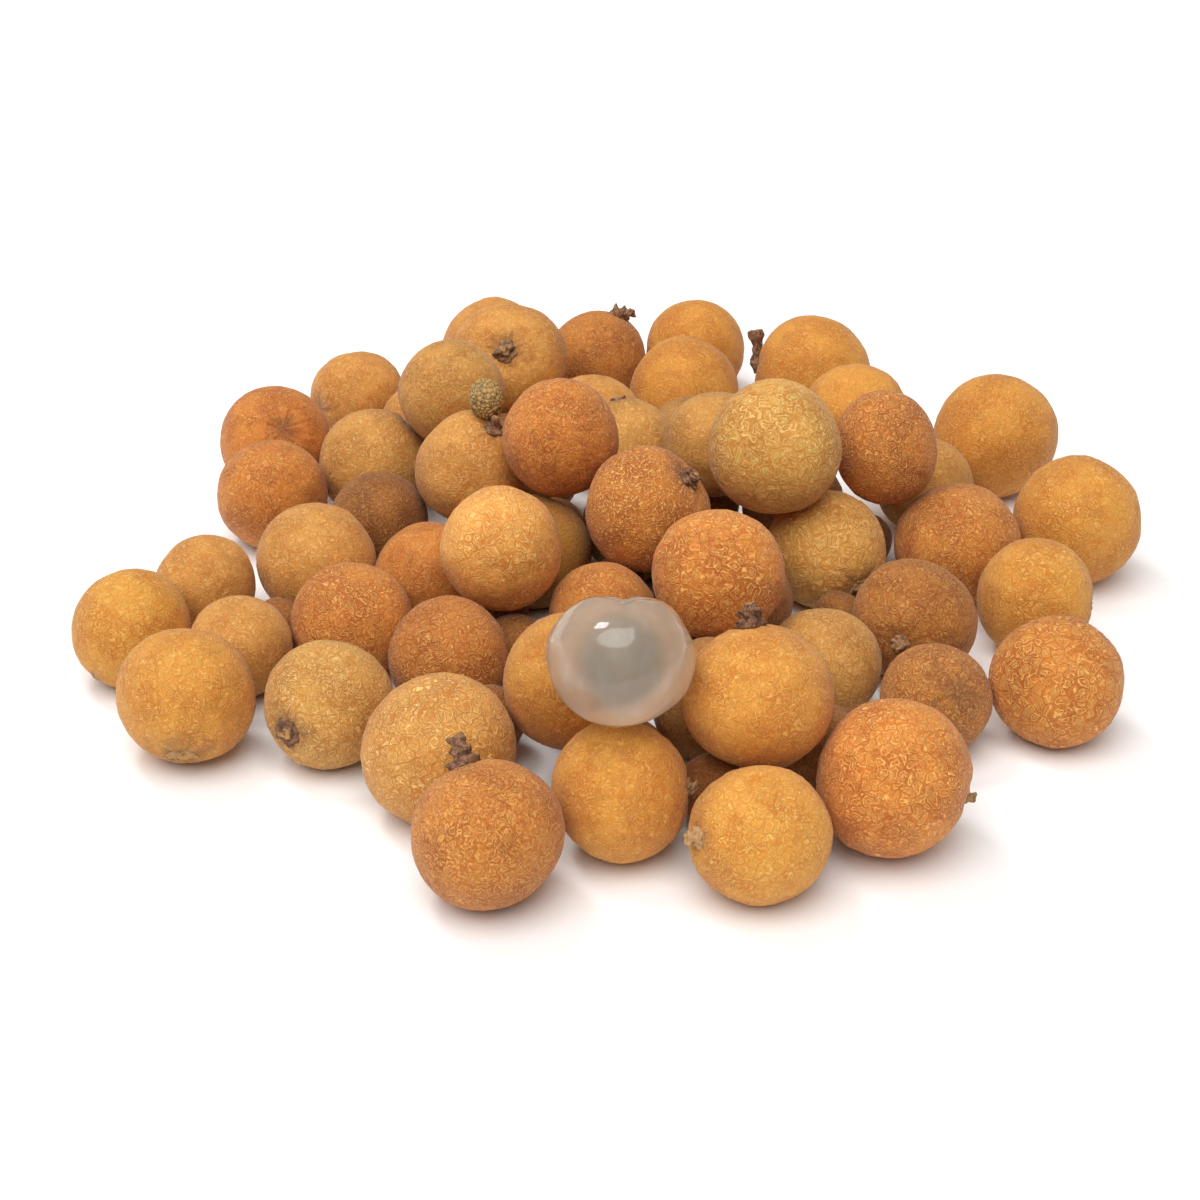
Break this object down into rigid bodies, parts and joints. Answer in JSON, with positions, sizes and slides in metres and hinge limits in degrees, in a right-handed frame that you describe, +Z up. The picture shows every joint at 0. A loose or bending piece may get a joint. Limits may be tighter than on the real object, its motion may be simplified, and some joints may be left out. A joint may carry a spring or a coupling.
{
  "type": "longan bunch",
  "caption": "Loose bunch of ripe longans heaped on a surface: round fruits in thin leathery skins with woody stalk stubs, and one peeled fruit whose dark seed shows through clear flesh.",
  "frame": {"origin": "middle of the heap's plan, on the surface that it lies on", "axes": "+Z up, +X to the right and +Y away from the front, where the peeled fruit is"},
  "size_m": [0.2161, 0.2278, 0.0496],
  "materials": {
    "peel_honey": "dry matte skin, golden honey brown with a fine pale net",
    "peel_tan": "dry matte skin, yellowish tan with a fine pale net",
    "peel_russet": "dry matte skin, russet brown with a fine pale net",
    "peel_olive": "dry matte skin, olive brown with a coarse pale net",
    "flesh": "wet glossy translucent jelly-like flesh, off-white",
    "seed": "smooth glossy near-black seed coat"
  },
  "bodies": {
    "root": {"longan_01": "peel_russet", "longan_02": "peel_honey", "longan_03": "peel_honey", "longan_04": "peel_russet", "longan_05": "peel_tan", "longan_06": "peel_olive", "longan_07": "peel_honey", "longan_08": "peel_honey", "longan_09": "peel_tan", "longan_10": "peel_honey", "longan_11": "peel_russet", "longan_12": "peel_russet", "longan_13": "peel_russet", "longan_14": "peel_russet", "longan_15": "peel_honey", "longan_16": "peel_olive", "longan_17": "peel_russet", "longan_18": "peel_olive", "longan_19": "peel_russet", "longan_20": "peel_honey", "longan_21": "peel_honey", "longan_22": "peel_russet", "longan_23": "peel_honey", "longan_24": "peel_russet", "longan_25": "peel_olive", "longan_26": "peel_russet", "longan_27": "peel_russet", "longan_28": "peel_tan", "longan_29": "peel_tan", "longan_30": "peel_olive", "longan_31": "peel_russet", "longan_32": "peel_tan", "longan_33": "peel_russet", "longan_34": "peel_russet", "longan_35": "peel_tan", "longan_36": "peel_tan", "longan_37": "peel_tan", "longan_38": "peel_olive", "longan_39": "peel_tan", "longan_40": "peel_tan", "longan_41": "peel_tan", "longan_42": "peel_russet", "longan_43": "peel_honey", "longan_44": "peel_honey", "longan_45": "peel_honey", "longan_46": "peel_honey", "longan_47": "peel_olive", "longan_48": "peel_olive", "longan_49": "peel_olive", "longan_50": "peel_russet", "longan_51": "peel_honey", "longan_52": "peel_tan", "longan_53": "peel_russet", "longan_54": "peel_honey", "longan_55": "peel_tan", "longan_56": "peel_russet", "longan_57": "peel_honey", "longan_58": "peel_tan", "peeled_flesh": "flesh", "peeled_seed": "seed"}
  },
  "joints": []
}
